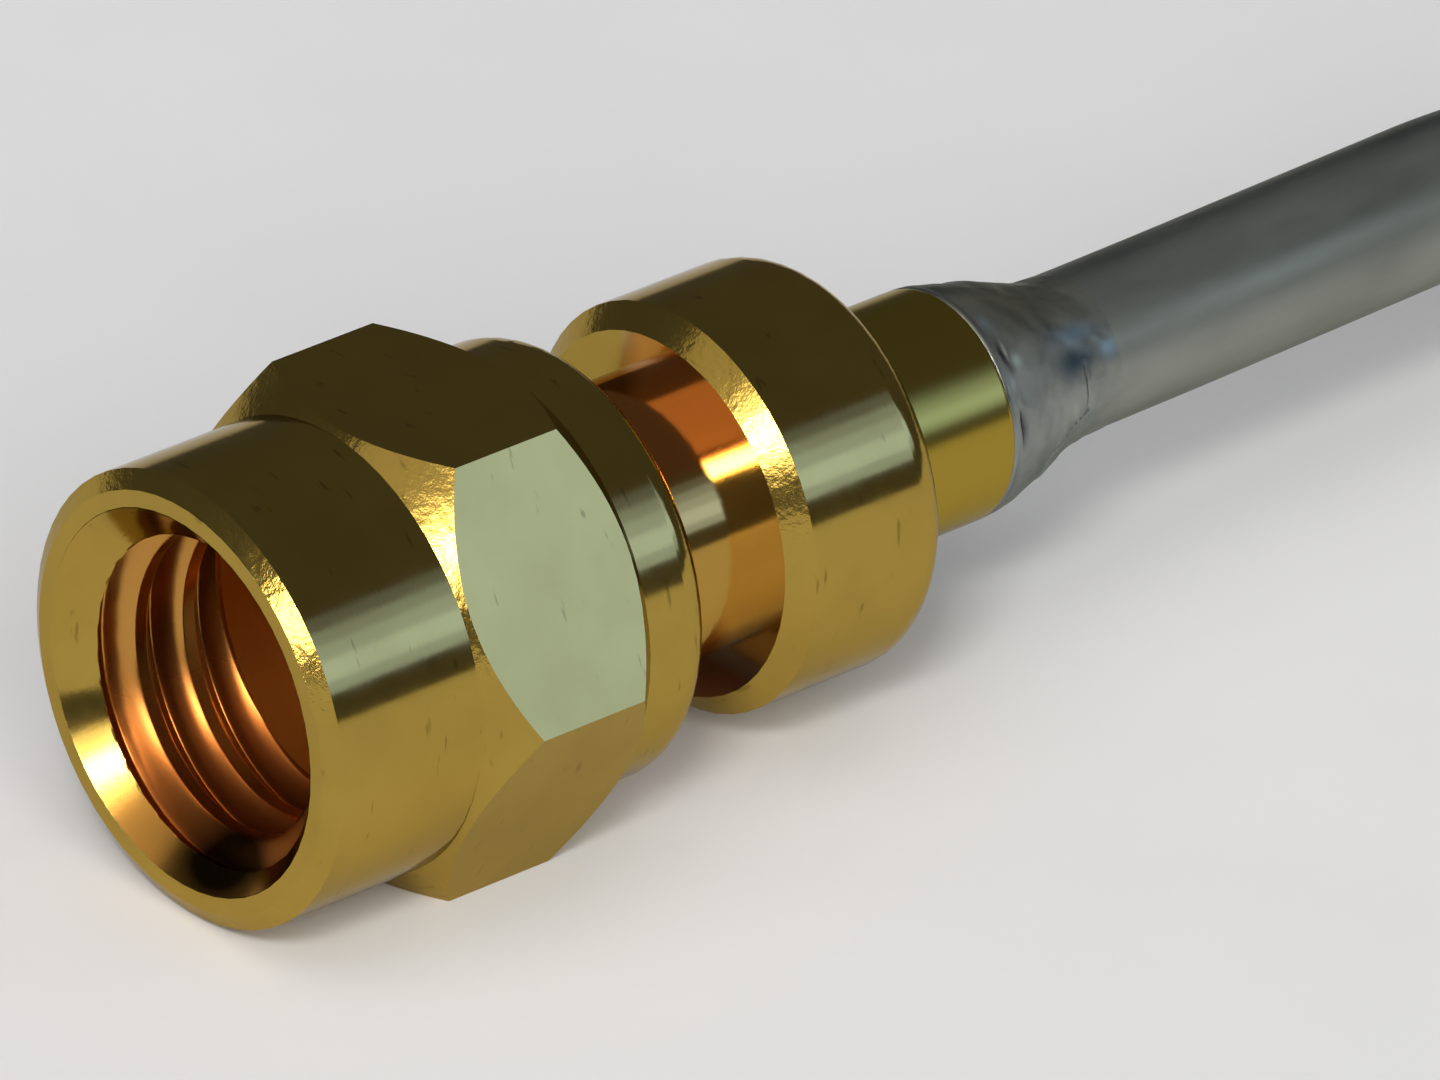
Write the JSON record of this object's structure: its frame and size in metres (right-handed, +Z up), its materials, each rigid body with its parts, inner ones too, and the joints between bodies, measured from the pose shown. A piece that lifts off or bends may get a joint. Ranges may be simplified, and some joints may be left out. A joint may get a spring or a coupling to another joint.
{
  "type": "rf coaxial connector",
  "caption": "Threaded subminiature coaxial plug with a hexagonal coupling nut, soldered on a tin-plated semi-rigid cable.",
  "frame": {"origin": "on the connector's axis in its reference plane, the shoulder inside the nut where the outer contact's sleeve begins", "axes": "+X along the axis towards the cable, +Z up, square to the nut's flat that lies on the surface"},
  "size_m": [0.0478, 0.0074, 0.0064],
  "materials": {
    "gold_plated_brass": "gold plated, turned, polished",
    "gold_plated_body": "gold plated, turned, polished",
    "gold_plated_contact": "gold plated",
    "bronze_spring": "plain spring bronze",
    "white_dielectric": "matte, waxy",
    "solder": "cast solder, matte grey",
    "tinned_copper": "tin plated, satin",
    "silvered_wire": "silver plated wire"
  },
  "bodies": {
    "plug": {"connector_body": "gold_plated_body", "retaining_ring": "bronze_spring", "insulator": "white_dielectric", "centre_contact": "gold_plated_contact", "contact_solder": "solder", "cable_solder": "solder", "cable_outer_conductor": "tinned_copper", "cable_dielectric": "white_dielectric", "cable_centre_conductor": "silvered_wire"},
    "nut": {"coupling_nut": "gold_plated_brass"}
  },
  "joints": [
    {"name": "nut_turn", "type": "hinge", "parent": "plug", "child": "nut", "pos_m": [0, 0, 0], "axis": [1, 0, 0], "continuous": true}
  ]
}
